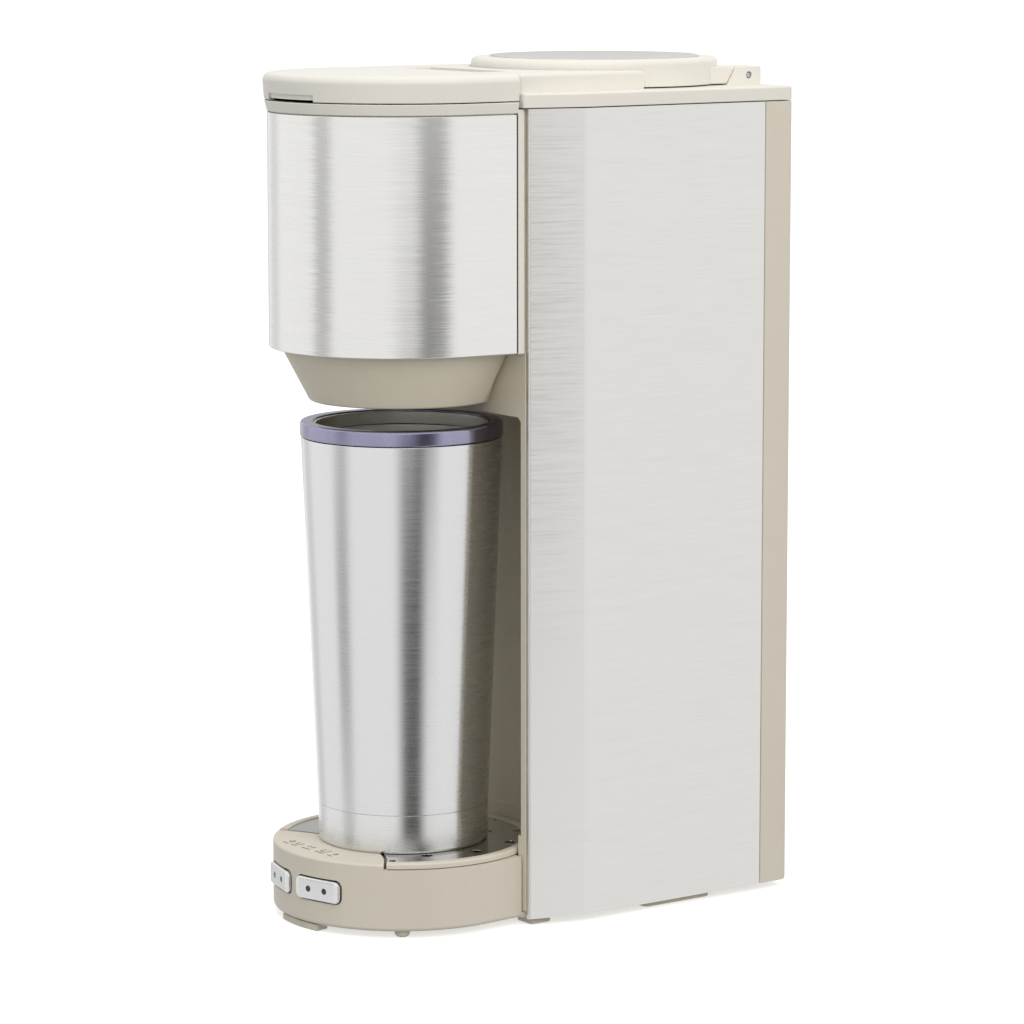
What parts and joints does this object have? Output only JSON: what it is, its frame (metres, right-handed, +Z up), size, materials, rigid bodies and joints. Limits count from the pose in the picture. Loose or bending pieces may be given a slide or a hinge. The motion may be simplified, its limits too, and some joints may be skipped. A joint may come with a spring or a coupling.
{
  "type": "drip coffee maker",
  "caption": "Single-serve drip coffee maker: a tall steel-sided tower with a round brew head over a bay that holds a travel mug on a drip tray.",
  "frame": {"origin": "middle of the footprint, on the surface that the feet stand on", "axes": "+Z up, -Y towards the front with the mug and buttons, +X to the right of a person standing behind the machine"},
  "size_m": [0.1186, 0.1958, 0.3247],
  "materials": {
    "cream_plastic": "satin moulded ABS, warm cream",
    "brushed_steel": "fine brushed stainless steel",
    "polished_steel": "bright satin stainless steel",
    "tinted_metal": "violet anodised aluminium",
    "zinc_steel": "zinc plated steel",
    "foot_rubber": "moulded rubber, cream grey",
    "charcoal_plastic": "moulded polypropylene, charcoal",
    "indicator_black": "smoked polycarbonate window",
    "silicone": "food grade silicone",
    "clear_plastic": "translucent tank plastic",
    "cast_aluminium": "die cast aluminium",
    "circuit_board": "green circuit board"
  },
  "bodies": {
    "machine": {"tower_frame": "cream_plastic", "side_panel_left": "brushed_steel", "side_panel_right": "brushed_steel", "rear_cover": "cream_plastic", "top_deck": "cream_plastic", "base_housing": "cream_plastic", "bottom_plate": "cream_plastic", "bottom_screw_1": "zinc_steel", "bottom_screw_2": "zinc_steel", "bottom_screw_3": "zinc_steel", "bottom_screw_4": "zinc_steel", "foot_front": "foot_rubber", "foot_round_left": "foot_rubber", "foot_round_right": "foot_rubber", "foot_mid_left": "foot_rubber", "foot_mid_right": "foot_rubber", "foot_rear_left": "foot_rubber", "foot_rear_right": "foot_rubber", "brew_head_shell": "cream_plastic", "head_steel_wrap": "brushed_steel", "brew_funnel": "cream_plastic", "filter_basket": "charcoal_plastic", "mesh_filter": "polished_steel", "outlet_nozzle": "silicone", "brew_hinge_pin": "zinc_steel", "tank_hinge_pin": "zinc_steel", "switch_left": "charcoal_plastic", "switch_right": "charcoal_plastic", "switch_board": "circuit_board", "power_board": "circuit_board", "water_tank": "clear_plastic", "check_valve": "silicone", "boiler_block": "cast_aluminium", "heating_element": "zinc_steel", "inlet_hose": "silicone", "riser_hose": "silicone", "thermostat": "charcoal_plastic", "thermal_fuse": "charcoal_plastic", "cord_gland": "charcoal_plastic"},
    "brew_lid": {"brew_lid": "cream_plastic", "spray_head": "silicone"},
    "tank_lid": {"tank_lid": "cream_plastic", "tank_lid_inlay": "brushed_steel"},
    "button_left": {"button_left": "polished_steel", "indicator_left_outer": "indicator_black", "indicator_left_inner": "indicator_black"},
    "button_right": {"button_right": "polished_steel", "indicator_right_outer": "indicator_black", "indicator_right_inner": "indicator_black"},
    "drip_tray": {"drip_tray": "cream_plastic", "drip_plate": "polished_steel"},
    "travel_mug": {"mug_body": "brushed_steel", "mug_base": "brushed_steel", "mug_liner": "polished_steel", "mug_collar": "tinted_metal"}
  },
  "joints": [
    {"name": "brew_lid_hinge", "type": "hinge", "parent": "machine", "child": "brew_lid", "pos_m": [0, -0.0211, 0.3176], "axis": [-1, 0, 0], "range_deg": [0, 95]},
    {"name": "tank_lid_hinge", "type": "hinge", "parent": "machine", "child": "tank_lid", "pos_m": [0, 0.0904, 0.3169], "axis": [-1, 0, 0], "range_deg": [0, 95]},
    {"name": "button_left_press", "type": "slide", "parent": "machine", "child": "button_left", "axis": [0.2588, 0.9659, 0], "range_m": [0, 0.0012], "stiffness_N_per_m": 600},
    {"name": "button_right_press", "type": "slide", "parent": "machine", "child": "button_right", "axis": [-0.2588, 0.9659, 0], "range_m": [0, 0.0012], "stiffness_N_per_m": 600},
    {"name": "drip_tray_lift", "type": "slide", "parent": "machine", "child": "drip_tray", "axis": [0, 0, 1], "range_m": [0, 0.0035]},
    {"name": "mug_slide", "type": "slide", "parent": "drip_tray", "child": "travel_mug", "axis": [0, -1, 0], "range_m": [0, 0.095]}
  ]
}
